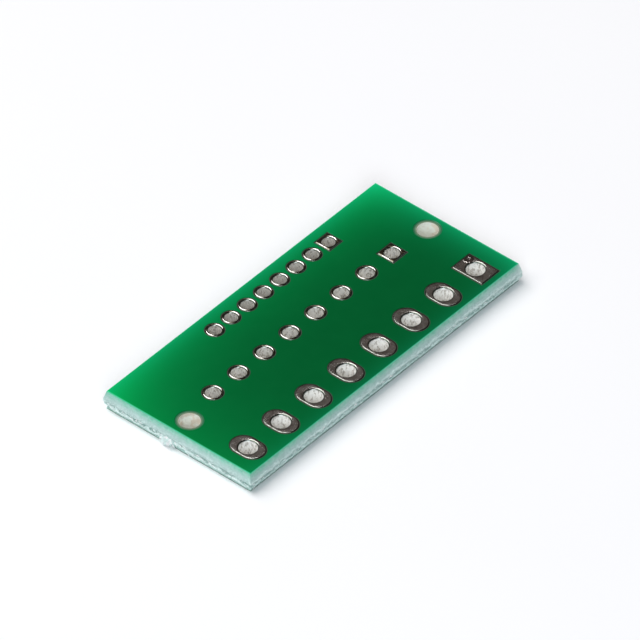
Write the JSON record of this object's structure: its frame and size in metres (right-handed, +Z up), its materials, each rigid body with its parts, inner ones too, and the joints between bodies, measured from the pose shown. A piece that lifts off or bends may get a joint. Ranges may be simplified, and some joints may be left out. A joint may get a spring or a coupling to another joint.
{
  "type": "wireless module adapter board",
  "caption": "Bare green circuit board that brings a module's fine-pitch pins out to wider header pitches, with rows of tinned plated holes and plain tooling holes.",
  "frame": {"origin": "middle of the board's outline, on the plane that the tinned pads of its underside rest on", "axes": "+X along the long edges towards pin 1 of every row, +Y from the 2.54 mm row to the 1.27 mm row, +Z up out of the plain face"},
  "size_m": [0.0215, 0.01, 0.0012],
  "materials": {
    "laminate": "pale glass-fibre laminate with torn, fibrous edges",
    "solder_mask": "glossy green solder mask",
    "tinned_plating": "hot-air levelled tin over copper",
    "copper_track": "copper foil under the mask"
  },
  "bodies": {
    "root": {"substrate": "laminate", "solder_mask_top": "solder_mask", "solder_mask_bottom": "solder_mask", "plated_hole_a1": "tinned_plating", "plated_hole_a2": "tinned_plating", "plated_hole_a3": "tinned_plating", "plated_hole_a4": "tinned_plating", "plated_hole_a5": "tinned_plating", "plated_hole_a6": "tinned_plating", "plated_hole_a7": "tinned_plating", "plated_hole_a8": "tinned_plating", "plated_hole_b1": "tinned_plating", "plated_hole_b2": "tinned_plating", "plated_hole_b3": "tinned_plating", "plated_hole_b4": "tinned_plating", "plated_hole_b5": "tinned_plating", "plated_hole_b6": "tinned_plating", "plated_hole_b7": "tinned_plating", "plated_hole_b8": "tinned_plating", "plated_hole_c1": "tinned_plating", "plated_hole_c2": "tinned_plating", "plated_hole_c3": "tinned_plating", "plated_hole_c4": "tinned_plating", "plated_hole_c5": "tinned_plating", "plated_hole_c6": "tinned_plating", "plated_hole_c7": "tinned_plating", "plated_hole_c8": "tinned_plating", "track_ab1": "copper_track", "track_bc1": "copper_track", "track_ab2": "copper_track", "track_bc2": "copper_track", "track_ab3": "copper_track", "track_bc3": "copper_track", "track_ab4": "copper_track", "track_bc4": "copper_track", "track_ab5": "copper_track", "track_bc5": "copper_track", "track_ab6": "copper_track", "track_bc6": "copper_track", "track_ab7": "copper_track", "track_bc7": "copper_track", "track_ab8": "copper_track", "track_bc8": "copper_track"}
  },
  "joints": []
}
